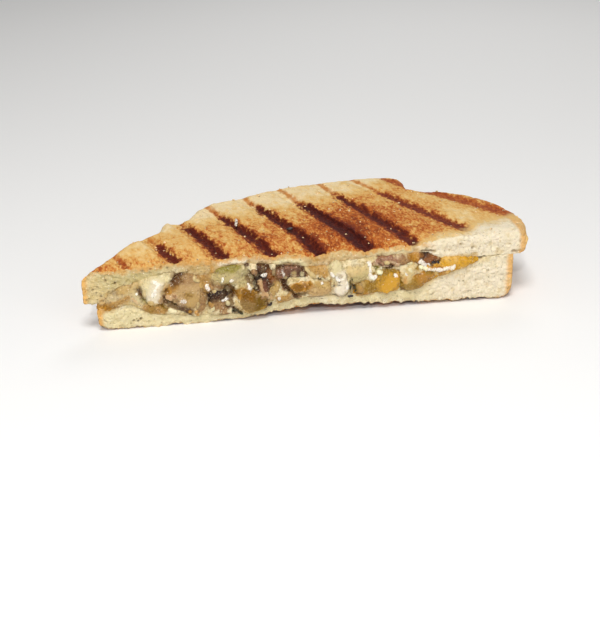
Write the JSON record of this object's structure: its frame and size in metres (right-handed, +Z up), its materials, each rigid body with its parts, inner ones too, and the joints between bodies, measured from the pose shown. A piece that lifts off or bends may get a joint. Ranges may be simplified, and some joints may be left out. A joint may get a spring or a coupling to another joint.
{
  "type": "grilled mushroom sandwich half",
  "caption": "Half of a pressed grilled sandwich cut lengthwise: domed bread slices with grill marks, melted white and yellow cheese and mushroom pieces showing at the cut.",
  "frame": {"origin": "centre of the flat underside that the sandwich rests on", "axes": "+X along the cut towards the thick end, +Y away from the cut face towards the domed rim, +Z up"},
  "size_m": [0.16, 0.0732, 0.0262],
  "materials": {
    "bread": "toasted crust with dark grill marks, open pale crumb at the cut",
    "white_cheese": "melted, glossy and milky",
    "yellow_cheese": "melted, glossy amber",
    "browned_cheese": "melted and browned, satin",
    "mushroom": "cooked and moist, brown to near black",
    "leek": "cooked and moist, pale green",
    "onion": "cooked and moist, white"
  },
  "bodies": {
    "root": {"bread_upper": "bread", "bread_lower": "bread", "cheese_white": "white_cheese", "cheese_yellow": "yellow_cheese", "cheese_drip": "yellow_cheese", "cheese_browned": "browned_cheese", "mushroom_cap_slice": "mushroom", "mushroom_chunk": "mushroom", "mushroom_dark_left": "mushroom", "mushroom_dark_right": "mushroom", "mushroom_right": "mushroom", "mushroom_end": "mushroom", "leek_piece": "leek", "onion_piece": "onion"}
  },
  "joints": []
}
